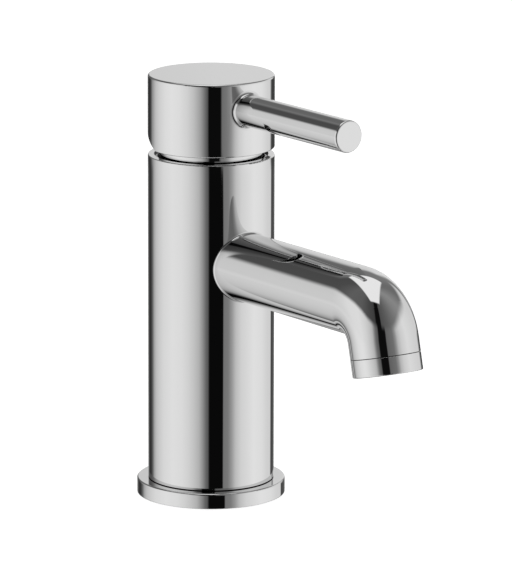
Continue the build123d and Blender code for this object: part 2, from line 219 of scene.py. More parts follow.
@dataclass(frozen=True)
class Finish:
    """A finish with fine relief and a roughness that varies a little.

    Attributes:
        name: The material's name.
        colour: Colour as linear red, green and blue.
        metallic: 1 for metal, 0 for the rest.
        roughness: Lowest and highest roughness.
        grain: Waves to the metre of the roughness pattern.
        relief: Height of the bumps in metres.
        relief_scale: Waves to the metre of the bumps.
        stretch: Scale of both patterns along each axis.
        tint: Share by which the colour varies.
    """

    name: str
    colour: tuple[float, float, float]
    metallic: float = 0.0
    roughness: tuple[float, float] = (0.4, 0.5)
    grain: float = 400.0
    relief: float = 2e-6
    relief_scale: float = 1500.0
    stretch: tuple[float, float, float] = EVEN
    tint: float = 0.05

    def material(self) -> bpy.types.Material:
        """Makes the material, or finds it if it is there already.

        Returns:
            The material.
        """
        if self.name in bpy.data.materials:
            return bpy.data.materials[self.name]
        made = bpy.data.materials.new(self.name)
        made.use_nodes = True
        self.paint(Shade(made.node_tree))
        return made

    def paint(self, shade: Shade) -> None:
        """Fills the material's node tree.

        Args:
            shade: The emptied tree.
        """
        skin = shade.node("BsdfPrincipled")
        output = shade.node("OutputMaterial")
        shade.feed(output.inputs["Surface"], skin.outputs[0])
        skin.inputs["Metallic"].default_value = self.metallic
        pattern = shade.noise(self.grain, GRAIN_DETAIL, self.stretch)
        shade.feed(skin.inputs["Roughness"], self._roughness(shade, pattern))
        tone = shade.node("Mix", data_type="RGBA")
        dark = tuple(c * (1 - self.tint) for c in self.colour)
        shade.feed(tone.inputs[0], pattern)
        shade.feed(tone.inputs[6], (*dark, 1.0))
        shade.feed(tone.inputs[7], (*self.colour, 1.0))
        shade.feed(skin.inputs["Base Color"], self._toned(shade, tone.outputs[2]))
        bump = shade.node("Bump")
        bump.inputs["Distance"].default_value = self.relief
        waves = shade.noise(self.relief_scale, RELIEF_DETAIL, self.stretch)
        shade.feed(bump.inputs["Height"], waves)
        shade.feed(skin.inputs["Normal"], bump.outputs[0])

    def _toned(self, shade: Shade, colour: Socket) -> Socket:
        """Lets a finish change its colour from place to place; a plain one doesn't."""
        return colour

    def _roughness(self, shade: Shade, pattern: Socket) -> Socket:
        """Maps the pattern to the finish's range of roughness.

        Args:
            shade: The material's tree.
            pattern: The noise.

        Returns:
            The roughness.
        """
        made = shade.node("MapRange")
        shade.feed(made.inputs["Value"], pattern)
        limits = (*NOISE_SPAN, *self.roughness)
        for name, value in zip(("From Min", "From Max", "To Min", "To Max"), limits):
            made.inputs[name].default_value = value
        return made.outputs["Result"]


class Band(Enum):
    """Narrow joints painted dark as shade, by lowest and highest height and outer radius."""

    COLUMN_FOOT = (5.5 * MM, 5.92 * MM, 22.42 * MM)
    COLUMN_MOUTH = (122.6 * MM, 123.42 * MM, 20.4 * MM)
    RING_TOP = (5.5 * MM, 5.7 * MM, 22.42 * MM)


@dataclass(frozen=True)
class GapChrome(Finish):
    """Chrome with shade painted dark inside the joints of a turned piece.

    Attributes:
        bands: The joints.
        painted_shade_grey: Grey painted inside them as shade.
    """

    bands: tuple[Band, ...] = ()
    painted_shade_grey: float = 0.03

    def _toned(self, shade: Shade, colour: Socket) -> Socket:
        """Paints shade into the colour inside the joints.

        Args:
            shade: The material's tree.
            colour: The plated colour.

        Returns:
            The colour with the joints in it.
        """
        axes = shade.node("SeparateXYZ")
        shade.feed(axes.inputs[0], shade.node("TexCoord").outputs["Object"])
        x, y, z = axes.outputs
        squares = shade.math("ADD", shade.math("MULTIPLY", x, x), shade.math("MULTIPLY", y, y))
        reach = shade.math("SQRT", squares)
        dark: Socket | float = 0.0
        for band in self.bands:
            low, high, outer = band.value
            above, below = shade.math("GREATER_THAN", z, low), shade.math("LESS_THAN", z, high)
            within = shade.math("LESS_THAN", reach, outer)
            joint = shade.math("MULTIPLY", shade.math("MULTIPLY", above, below), within)
            dark = shade.math("MAXIMUM", dark, joint)
        # painted shade: the joints are painted near black where shade falls in them
        mixed = shade.node("Mix", data_type="RGBA")
        shade.feed(mixed.inputs[0], dark)
        shade.feed(mixed.inputs[6], colour)
        shade.feed(mixed.inputs[7], (self.painted_shade_grey,) * 3 + (1.0,))
        return mixed.outputs[2]


CHROME_LEVEL = 0.68
POLISH = {
    "colour": (CHROME_LEVEL,) * 3,
    "metallic": 1.0,
    "roughness": (0.015, 0.03),
    "grain": 90.0,
    "relief": 1e-7,
    "relief_scale": 60.0,
    "tint": 0.015,
}
CHROME = Finish("polished_chrome", **POLISH)
# these two chromes carry painted shade, near black, in their joints
COLUMN_CHROME = GapChrome("column_chrome", **POLISH, bands=(Band.COLUMN_FOOT, Band.COLUMN_MOUTH))
RING_CHROME = GapChrome("base_ring_chrome", **POLISH, bands=(Band.RING_TOP,))
# painted shade: near black for the walls of the spout's shadow gap
PAINTED_GAP_SHADE = Finish("painted_gap_shade", (0.03, 0.03, 0.03), 1.0, (0.4, 0.6), 400.0, 1e-6, 900.0)
RUBBER = Finish("nitrile_rubber", (0.018, 0.018, 0.019), 0.0, (0.5, 0.65), 700.0, 4e-6, 2500.0)
CERAMIC = Finish("alumina", (0.80, 0.79, 0.76), 0.0, (0.12, 0.2), 900.0, 1e-6, 3000.0)
AERATOR_PLASTIC = Finish("grey_acetal", (0.33, 0.34, 0.36), 0.0, (0.3, 0.42), 600.0, 2e-6, 2500.0)
CARTRIDGE_PLASTIC = Finish(
    "cartridge_plastic", (0.6, 0.6, 0.57), 0.0, (0.35, 0.5), 500.0, 3e-6, 1800.0
)
BRASS = Finish("turned_brass", (0.62, 0.43, 0.17), 1.0, (0.2, 0.32), 150.0, 1e-6, 300.0, TURNED)
STEEL = Finish("ground_steel", (0.52, 0.52, 0.51), 1.0, (0.2, 0.3), 150.0, 1e-6, 300.0, TURNED)

SLOT_FINISH = {
    "chrome": CHROME,
    "rubber": RUBBER,
    "ceramic": CERAMIC,
    "aerator_plastic": AERATOR_PLASTIC,
    "cartridge_plastic": CARTRIDGE_PLASTIC,
    "brass": BRASS,
    "steel": STEEL,
}
NODE_FINISH = {"column": COLUMN_CHROME, "base_ring": RING_CHROME}


# ------------------------------------------------------------------ building blocks
class TreeBuilder:
    """A Geometry Nodes tree with short calls, run once on a mesh."""

    def __init__(self, name: str) -> None:
        """Starts an empty tree with a geometry input and output.

        Args:
            name: The tree's name.
        """
        self.tree = bpy.data.node_groups.new(name, "GeometryNodeTree")
        sockets = self.tree.interface
        for way in ("INPUT", "OUTPUT"):
            sockets.new_socket("Geometry", in_out=way, socket_type="NodeSocketGeometry")
        self.values: dict[str, object] = {}
        self.entry: bpy.types.Node | None = None

    def size(self, name: str, kind: str, value: object) -> None:
        """Declares a named input and the value that it gets.

        Args:
            name: The input's name.
            kind: Float, Int, Object or Material.
            value: What the modifier sets it to.
        """
        sockets = self.tree.interface
        socket = sockets.new_socket(name, in_out="INPUT", socket_type="NodeSocket" + kind)
        self.values[socket.identifier] = value

    def read(self, name: str) -> Socket:
        """Finds a named input's socket inside the tree.

        Args:
            name: The input's name.

        Returns:
            The socket to link from.
        """
        if self.entry is None:
            self.entry = self.tree.nodes.new("NodeGroupInput")
        return self.entry.outputs[name]

    def node(self, kind: str, inputs: dict[str | int, object] | None = None) -> bpy.types.Node:
        """Adds a node.

        Args:
            kind: The node's full type name.
            inputs: Values or sockets for its inputs.

        Returns:
            The new node.
        """
        made = self.tree.nodes.new(kind)
        for name, value in (inputs or {}).items():
            if isinstance(value, bpy.types.NodeSocket):
                self.tree.links.new(value, made.inputs[name])
            else:
                made.inputs[name].default_value = value
        return made

    def close(self, geometry: Socket) -> None:
        """Realizes the geometry, gives it the material input and wires it to the output.

        Args:
            geometry: What the tree has made.
        """
        real = self.node("GeometryNodeRealizeInstances", {0: geometry})
        material = self.read("Material")
        painted = self.node("GeometryNodeSetMaterial", {0: real.outputs[0], "Material": material})
        smooth = self.node("GeometryNodeSetShadeSmooth", {0: painted.outputs[0]})
        self.node("NodeGroupOutput", {0: smooth.outputs[0]})

    def run(self, name: str, start: bpy.types.Mesh) -> bpy.types.Mesh:
        """Runs the tree on a mesh.

        Args:
            name: Name of the finished mesh.
            start: The mesh that the tree reads.

        Returns:
            The result as a plain mesh.
        """
        holder = bpy.data.objects.new(name + "_tree", start)
        bpy.context.scene.collection.objects.link(holder)
        modifier = holder.modifiers.new("tree", "NODES")
        modifier.node_group = self.tree
        for identifier, value in self.values.items():
            modifier[identifier] = value
        bpy.context.view_layer.update()
        evaluated = holder.evaluated_get(bpy.context.evaluated_depsgraph_get())
        made = bpy.data.meshes.new_from_object(evaluated)
        made.name = name
        holder.modifiers.remove(modifier)
        bpy.data.objects.remove(holder)
        return made


def add_piece(name: str, mesh: bpy.types.Mesh, finish: Finish) -> bpy.types.Object:
    """Puts a finished mesh in the scene.

    Args:
        name: The piece's name.
        mesh: Its mesh, in place.
        finish: Its finish.

    Returns:
        The piece.
    """
    mesh.materials.clear()
    mesh.materials.append(finish.material())
    piece = bpy.data.objects.new(name, mesh)
    bpy.context.scene.collection.objects.link(piece)
    log.info("made %s, %d faces", name, len(mesh.polygons))
    return piece


def solid_mesh(name: str, shape: bmesh.types.BMesh, sharp_deg: float = 30.0) -> bpy.types.Mesh:
    """Finishes a shape as a smooth closed mesh with outward faces.

    Args:
        name: The mesh's name.
        shape: The shape, which is freed.
        sharp_deg: Angle past which an edge stays crisp.

    Returns:
        The mesh.
    """
    bmesh.ops.remove_doubles(shape, verts=shape.verts, dist=MERGE)
    bmesh.ops.recalc_face_normals(shape, faces=shape.faces)
    for face in shape.faces:
        face.smooth = True
    for edge in shape.edges:
        if edge.is_manifold:
            edge.smooth = edge.calc_face_angle(0.0) < math.radians(sharp_deg)
    mesh = bpy.data.meshes.new(name)
    shape.to_mesh(mesh)
    shape.free()
    return mesh


def add_lathe(
    shape: bmesh.types.BMesh, outline: Sequence[tuple[float, float]], sides: int, start: float = 0.0
) -> None:
    """Turns a closed outline about Z.

    Args:
        shape: The mesh that gets the ring.
        outline: Pairs of radius and height, in order round the section.
        sides: Sides of the ring.
        start: Angle of the first side.
    """
    rows = []
    for i in range(sides):
        turn = start + math.tau * i / sides
        x, y = math.cos(turn), math.sin(turn)
        rows.append([shape.verts.new((r * x, r * y, z)) for r, z in outline])
    for row, after in zip(rows, rows[1:] + rows[:1]):
        for i, spot in enumerate(row):
            j = (i + 1) % len(row)
            shape.faces.new((spot, after[i], after[j], row[j]))


def cove(
    s: float, c: float, tube: float, drum: float, bead: float, steps: int = 10
) -> list[Vector]:
    """Arc between a level tube and the upright drum that it leaves.

    Args:
        s: Sine of the place round the tube, from the top.
        c: Its cosine.
        tube: The tube's radius.
        drum: The drum's radius.
        bead: The cove's radius.
        steps: Parts of the arc.

    Returns:
        Points from the tube's side to the drum's skin, with heights from the tube's axis.
    """
    x, z = (tube + bead) * s, (tube + bead) * c
    y = -math.sqrt((drum + bead) ** 2 - x * x)
    centre = Vector((x, y, z))
    to_tube, to_drum = Vector((-s, 0.0, -c)), Vector((-x, -y, 0.0)).normalized()
    angle = to_tube.angle(to_drum)
    points = []
    for i in range(steps + 1):
        turn = angle * i / steps
        way = to_tube * math.sin(angle - turn) + to_drum * math.sin(turn)
        points.append(centre + way * (bead / math.sin(angle)))
    return points


def corners_of(edges: Sequence[Edge]) -> list[Corner]:
    """Lists the ends of some edges once each, in the same order on every run."""
    return list(dict.fromkeys(corner for edge in edges for corner in edge.verts))


def weave(shape: bmesh.types.BMesh, loose: Sequence[Edge], rows: Rows) -> None:
    """Fills faces between the rows of neighbouring points.

    Args:
        shape: The mesh, changed in place.
        loose: Edges whose ends have rows.
        rows: Row of points behind each end.
    """
    for edge in loose:
        first, second = (rows[corner] for corner in edge.verts)
        for a, b, c, d in zip(first, first[1:], second[1:], second):
            shape.faces.new((a, b, c, d))


def dress_cad_nodes() -> None:
    """Gives every CAD node the finish of its material slot."""
    for part in frame["record"]["subparts"]:
        node = frame["nodes"][part["node"]]
        node.data.materials.clear()
        finish = NODE_FINISH.get(part["node"], SLOT_FINISH[part["material_slot"]])
        node.data.materials.append(finish.material())
        log.info("CAD node %s dressed in %s", part["node"], part["material_slot"])


# ------------------------------------------------------------------ spout
SKIN_DEPTH = 0.02 * MM  # a face deeper than this is no longer on the tube's outside


@dataclass
class Spout:
    """Bent tube with a polished bead where it meets the column.

    Attributes:
        radius: Outside of the tube.
        bore: Inside of the tube.
        column: Radius of the column.
        height: Height of the straight run.
        run: From the column's axis to the start of the bend.
        bend: Centreline radius of the bend.
        bend_deg: How far the bend turns.
        nozzle: Straight end after the bend, down to the outlet.
        housing: Part of that end which is the aerator's housing.
        bead: Radius of the cove between the tube and the column.
        seam: Height of the shadow gap at the housing's joint.
        seam_depth: Depth of that gap.
        collar: From the column's axis to where the swept part of the tube starts.
        collar_rings: Places of the rings between there and the bead, as shares of the way.
        buried: How far the bead's end and the bore run on into the column.
        run_steps: Parts of the straight run.
        bend_steps: Parts of the bend.
        sides: Sides of the round section.
    """

    radius: float = 12.2 * MM
    bore: float = 11.0 * MM
    column: float = 22.5 * MM
    height: float = 86.1 * MM
    run: float = 87.4 * MM
    bend: float = 14.4 * MM
    bend_deg: float = 76.5
    nozzle: float = 11.7 * MM
    housing: float = 6.3 * MM
    bead: float = 0.8 * MM
    seam: float = 0.16 * MM
    seam_depth: float = 0.5 * MM
    collar: float = 28.0 * MM
    collar_rings: tuple[float, ...] = (0.25, 0.5, 0.75, 0.9, 0.985)
    buried: tuple[float, float] = (0.3 * MM, 1.0 * MM)
    run_steps: int = 12
    bend_steps: int = 48
    sides: int = 128

    def build(self) -> None:
        """Builds the tube and gives it to the frame in place of its CAD node."""
        shape = bmesh.new()
        shape.from_mesh(self._tube())
        self._saddle(shape)
        self._end(shape)
        piece = add_piece("spout_tube", solid_mesh("spout_tube", shape), CHROME)
        # paints shade into the housing's shadow gap
        self._paint_gap_shade(piece)
        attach(piece, "root")
        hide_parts("spout")

    def outlet(self) -> Matrix:
        """Finds the frame at the outlet.

        Returns:
            The frame, with its origin on the axis and Z back up the stream.
        """
        turn = math.radians(self.bend_deg)
        y = -self.run - self.bend * math.sin(turn) - self.nozzle * math.cos(turn)
        z = self.height - self.bend * (1 - math.cos(turn)) - self.nozzle * math.sin(turn)
        return Matrix.Translation((0.0, y, z)) @ Matrix.Rotation(turn - math.pi / 2, 4, "X")

    def _path(self) -> bpy.types.Mesh:
        """Lays the centreline out from the collar to the housing.

        Returns:
            A line of points joined by edges.
        """
        straight = self.run - self.collar
        points = []
        for i in range(self.run_steps):
            y = -self.collar - straight * i / self.run_steps
            points.append(Vector((0.0, y, self.height)))
        for i in range(self.bend_steps + 1):
            turn = math.radians(self.bend_deg) * i / self.bend_steps
            y = -self.run - self.bend * math.sin(turn)
            points.append(Vector((0.0, y, self.height - self.bend * (1 - math.cos(turn)))))
        points.append(self.outlet() @ Vector((0.0, 0.0, self.housing + self.seam)))
        line = bpy.data.meshes.new("spout_line")
        line.from_pydata(points, [(i, i + 1) for i in range(len(points) - 1)], [])
        return line

    def _tube(self) -> bpy.types.Mesh:
        """Sweeps the tube's two skins along the centreline.

        Returns:
            The outer and the inner skin, open at both ends.
        """
        tree = TreeBuilder("swept_tube")
        tree.size("Outside radius", "Float", self.radius)
        tree.size("Bore radius", "Float", self.bore)
        tree.size("Sides", "Int", self.sides)
        tree.size("Material", "Material", CHROME.material())
        line = tree.node("GeometryNodeMeshToCurve", {0: tree.read("Geometry")})
        skins = tree.node("GeometryNodeJoinGeometry")
        for name in ("Outside radius", "Bore radius"):
            section = tree.node(
                "GeometryNodeCurvePrimitiveCircle",
                {"Resolution": tree.read("Sides"), "Radius": tree.read(name)},
            )
            swept = tree.node(
                "GeometryNodeCurveToMesh",
                {0: line.outputs[0], "Profile Curve": section.outputs[0]},
            )
            tree.tree.links.new(swept.outputs[0], skins.inputs[0])
        tree.close(skins.outputs[0])
        return tree.run("spout_skins", self._path())

    def _is_outer(self, reach: float) -> bool:
        """Tells the outer skin from the bore by a distance from the axis."""
        return reach > (self.radius + self.bore) / 2

    def _saddle(self, shape: bmesh.types.BMesh) -> None:
        """Carries the tube back to the column and sweeps it out in a cove.

        Args:
            shape: The two skins, changed in place.
        """
        open_edges = [edge for edge in shape.edges if edge.is_boundary]
        loose = [e for e in open_edges if abs(e.verts[0].co.y + self.collar) < NEAR]
        rows: Rows = {}
        for corner in corners_of(loose):
            x, z = corner.co.x, corner.co.z - self.height
            reach = math.hypot(x, z)
            way = self._cove if self._is_outer(reach) else self._inside
            spots = way(x / reach, z / reach)
            rows[corner] = [corner] + [shape.verts.new(spot) for spot in spots]
        weave(shape, loose, rows)
        self._bridge(shape, loose, rows)

    def _cove(self, s: float, c: float) -> list[Vector]:
        """Lays points from the tube down the cove to just inside the column.

        Args:
            s: Sine of the place round the tube.
            c: Its cosine.

        Returns:
            The points in order.
        """
        lift = Vector((0.0, 0.0, self.height))
        arc = [spot + lift for spot in cove(s, c, self.radius, self.column, self.bead)]
        run = arc[0].y + self.collar
        x, z = arc[0].x, arc[0].z
        rings = [Vector((x, -self.collar + run * share, z)) for share in self.collar_rings]
        inward = Vector((-arc[-1].x, -arc[-1].y, 0.0)).normalized()
        return rings + arc + [arc[-1] + inward * self.buried[0]]

    def _inside(self, s: float, c: float) -> list[Vector]:
        """Finds where the bore's skin ends inside the column.

        Args:
            s: Sine of the place round the bore.
            c: Its cosine.

        Returns:
            The point, alone in a list.
        """
        x = self.bore * s
        y = -math.sqrt(self.column**2 - x * x) + self.buried[1]
        return [Vector((x, y, self.height + self.bore * c))]

    def _end(self, shape: bmesh.types.BMesh) -> None:
        """Cuts the shadow gap at the housing's joint and closes the tube's end.

        Args:
            shape: The tube so far, changed in place.
        """
        inverse = self.outlet().inverted()
        lip = self.housing + self.seam
        open_edges = [edge for edge in shape.edges if edge.is_boundary]
        loose = [e for e in open_edges if abs((inverse @ e.verts[0].co).z - lip) < NEAR]
        rows: Rows = {}
        for corner in corners_of(loose):
            local = inverse @ corner.co
            reach = math.hypot(local.x, local.y)
            cut = (reach - self.seam_depth) / reach if self._is_outer(reach) else 1.0
            spots = [Vector((local.x * cut, local.y * cut, z)) for z in (lip, self.housing)]
            rows[corner] = [corner] + [shape.verts.new(self.outlet() @ spot) for spot in spots]
        weave(shape, loose, rows)
        self._bridge(shape, loose, rows)

    def _paint_gap_shade(self, piece: bpy.types.Object) -> None:
        """Paints the walls of the housing's shadow gap near black, as painted shade.

        Args:
            piece: The finished tube.
        """
        piece.data.materials.append(PAINTED_GAP_SHADE.material())
        inverse = self.outlet().inverted()
        for face in piece.data.polygons:
            spot = inverse @ face.center
            reach = math.hypot(spot.x, spot.y)
            if spot.z < self.housing + self.seam + NEAR and reach < self.radius - SKIN_DEPTH:
                face.material_index = 1

    def _bridge(self, shape: bmesh.types.BMesh, loose: Sequence[Edge], rows: Rows) -> None:
        """Closes the ring between the outer and the inner skin.

        Args:
            shape: The mesh, changed in place.
            loose: Edges that the rows started from, of both skins.
            rows: Row of points behind each of their ends.
        """
        outer, inner = [], []
        for edge in loose:
            a, b = (rows[corner][-1] for corner in edge.verts)
            reach = edge.calc_length() * self.sides / math.tau
            (outer if self._is_outer(reach) else inner).append(shape.edges.get((a, b)))
        bmesh.ops.bridge_loops(shape, edges=outer + inner)


# ------------------------------------------------------------------ lever
@dataclass
class Lever:
    """Pin lever whose foot sweeps out onto the head's skin.

    Attributes:
        radius: The lever's radius.
        height: Height of its axis.
        tip: From the column's axis to its flat end.
        edge: Rounding of that end.
        head: Radius of the head.
        foot: Radius of the foot let into the head.
        seat: From the column's axis to the floor that the foot sits on.
        cove: Radius of the cove between the lever and the head.
        skin: How far the foot's edge stands proud of the head, so that no gap shows.
        sunk: How far under the head's skin the foot's side starts.
        taper: The foot's width at its floor, as a share of its full width.
        rings: Places of the rings along the plain part, as shares of it.
        cove_steps: Parts of the cove.
        edge_steps: Parts of the rounded edge.
        rim: Width of the last ring of the flat end.
        sides: Sides of the round section.
    """

    radius: float = 5.7 * MM
    height: float = 142.5 * MM
    tip: float = 81.2 * MM
    edge: float = 0.7 * MM
    head: float = 22.5 * MM
    foot: float = 7.24 * MM
    seat: float = 20.92 * MM
    cove: float = 1.4 * MM
    skin: float = 0.012 * MM
    sunk: float = 0.05 * MM
    taper: float = 0.96
    rings: tuple[float, ...] = (0.01, 0.5, 0.995)
    cove_steps: int = 12
    edge_steps: int = 8
    rim: float = 0.03 * MM
    sides: int = 128

    def build(self) -> None:
        """Builds the lever and gives it to the frame in place of its CAD node."""
        shape = bmesh.new()
        rows = []
        for i in range(self.sides):
            turn = math.tau * i / self.sides
            spots = self._row(math.sin(turn), math.cos(turn))
            rows.append([shape.verts.new(spot) for spot in spots])
        middle = shape.verts.new((0.0, -self.tip, self.height))
        for row, after in zip(rows, rows[1:] + rows[:1]):
            for a, b, c, d in zip(row, row[1:], after[1:], after):
                shape.faces.new((a, b, c, d))
            shape.faces.new((row[-1], after[-1], middle))
        shape.faces.new([row[0] for row in rows])
        piece = add_piece("pin_lever", solid_mesh("pin_lever", shape), CHROME)
        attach(piece, "handle")
        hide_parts("lever_rod")

    def _row(self, s: float, c: float) -> list[Vector]:
        """Lays one line of points from the foot's floor to the rim of the lever's end.

        Args:
            s: Sine of the place round the lever, from the top.
            c: Its cosine.

        Returns:
            The points in order.
        """
        drum, buried, x = self.head + self.skin, self.head - self.sunk, self.foot * s
        points = [Vector((self.taper * x, -self.seat, self.taper * self.foot * c))]
        for reach in (buried, drum):
            points.append(Vector((x, -math.sqrt(reach**2 - x * x), self.foot * c)))
        points += reversed(cove(s, c, self.radius, drum, self.cove, self.cove_steps))
        start, end = points[-1].y, self.edge - self.tip
        for share in self.rings:
            points.append(Vector((self.radius * s, start + (end - start) * share, self.radius * c)))
        for i in range(self.edge_steps + 1):
            turn = math.pi / 2 * i / self.edge_steps
            reach = self.radius - self.edge * (1 - math.cos(turn))
            points.append(Vector((reach * s, end - self.edge * math.sin(turn), reach * c)))
        flat = self.radius - self.edge - self.rim
        points.append(Vector((flat * s, -self.tip, flat * c)))
        return [spot + Vector((0.0, 0.0, self.height)) for spot in points]


# ------------------------------------------------------------------ aerator
@dataclass
class Aerator:
    """Insert that shows in the outlet: a grid of six-sided jets in a plastic cup.

    Attributes:
        outlet: Frame at the outlet, with Z back up the stream.
        cup: Outside of the cup.
        floor_low: Underside of the jets' plate.
        floor_high: Top of the plate.
        cup_top: Rim of the cup.
        wall: The cup's wall.
        pitch: From jet to jet.
        rings: Rings of jets round the middle one.
        web: Wall between two jets.
        cup_ease: Bevel of the cup's edges.
        jet_ease: Bevel of the jets' mouths.
        fit: Size of a sleeve as a share of its cell, so that neighbours don't share faces.
        sides: Sides of the cup.
    """

    outlet: Matrix
    cup: float = 9.5 * MM
    floor_low: float = 0.95 * MM
    floor_high: float = 2.7 * MM
    cup_top: float = 8.9 * MM
    wall: float = 1.1 * MM
    pitch: float = 2.25 * MM
    rings: int = 3
    web: float = 0.45 * MM
    cup_ease: float = 0.15 * MM
    jet_ease: float = 0.12 * MM
    fit: float = 0.995
    sides: int = 96

    def build(self) -> None:
        """Builds the cup and its grid in place of the CAD cup."""
        shape = bmesh.new()
        shape.from_mesh(self._grid())
        add_lathe(shape, self._cup_profile(), self.sides)
        shape.transform(self.outlet)
        piece = add_piece("aerator_insert", solid_mesh("aerator_insert", shape), AERATOR_PLASTIC)
        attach(piece, "root")
        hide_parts("aerator_cage")

    def _cup_profile(self) -> list[tuple[float, float]]:
        """Draws the outline of the cup's wall.

        Returns:
            Pairs of radius and height, in order.
        """
        bore, ease, low, high = self.cup - self.wall, self.cup_ease, self.floor_low, self.cup_top
        return [
            (bore, low), (self.cup - ease, low), (self.cup, low + ease), (self.cup, high - ease),
            (self.cup - ease, high), (bore + ease, high), (bore, high - ease),
        ]

    def _cell(self) -> bpy.types.Mesh:
        """Turns one six-sided sleeve of the grid, with eased mouths.

        Returns:
            The sleeve, on the Z axis.
        """
        shape = bmesh.new()
        outer, inner = self.pitch / math.sqrt(3), (self.pitch - self.web) / math.sqrt(3)
        ease, low, high = self.jet_ease, self.floor_low, self.floor_high
        outline = [
            (outer, low + ease), (outer, high - ease), (outer - ease, high), (inner + ease, high),
            (inner, high - ease), (inner, low + ease), (inner + ease, low), (outer - ease, low),
        ]
        add_lathe(shape, outline, 6, math.radians(30))
        mesh = bpy.data.meshes.new("jet_cell")
        bmesh.ops.recalc_face_normals(shape, faces=shape.faces)
        shape.to_mesh(mesh)
        shape.free()
        return mesh

    def _grid(self) -> bpy.types.Mesh:
        """Repeats the sleeve over the cup's floor.

        Returns:
            The grid, with its jets along Z.
        """
        places = bpy.data.meshes.new("jet_places")
        spots = []
        for q in range(-self.rings, self.rings + 1):
            for r in range(-self.rings, self.rings + 1):
                if abs(q + r) <= self.rings:
                    spots.append((self.pitch * (q + r / 2), self.pitch * r * math.sqrt(3) / 2, 0.0))
        places.from_pydata(spots, [], [])
        cell = bpy.data.objects.new("jet_cell", self._cell())
        bpy.context.scene.collection.objects.link(cell)
        tree = TreeBuilder("jet_grid")
        tree.size("Sleeve", "Object", cell)
        tree.size("Size", "Float", self.fit)
        tree.size("Material", "Material", AERATOR_PLASTIC.material())
        sleeve = tree.node("GeometryNodeObjectInfo", {"Object": tree.read("Sleeve")})
        spread = tree.node(
            "GeometryNodeInstanceOnPoints",
            {
                0: tree.read("Geometry"),
                "Instance": sleeve.outputs["Geometry"],
                "Scale": tree.read("Size"),
            },
        )
        tree.close(spread.outputs[0])
        made = tree.run("jet_grid", places)
        bpy.data.objects.remove(cell)
        return made


# ------------------------------------------------------------------ studio
FULL_TURN, QUARTER_TURN = 360.0, 90.0  # degrees
LEAST_RISE = 0.05  # keeps the ceiling's places finite at the horizon


def on_chrome(grey: float) -> float:
    """Light level that gives a display grey on the chrome."""
    return linear(grey) / CHROME_LEVEL


def share_of_quarter(degrees: float) -> float:
    """An angle as a share of a quarter turn, because a ramp holds 0 to 1."""
    return degrees / QUARTER_TURN


@dataclass(frozen=True)
class CeilingPanel:
    """Lamp panel overhead, by its edges on a ceiling one metre up.

    Attributes:
        front: Edge towards the camera.
        back: Edge away from it.
        left: Left edge below the lamp's centre, and how it spreads towards the back.
        right: The right edge, in the same way.
        grey: Grey that it gives on chrome.
        edge: Half the width over which its edges fade.
        fade: Sines of the elevations between which it fades in from the horizon.
    """

    front: float = -0.48
    back: float = 0.64
    left: tuple[float, float] = (-0.43, -0.25)
    right: tuple[float, float] = (0.24, 0.295)
    grey: float = 229.0
    edge: float = 0.03
    fade: tuple[float, float] = (0.2, 0.4)


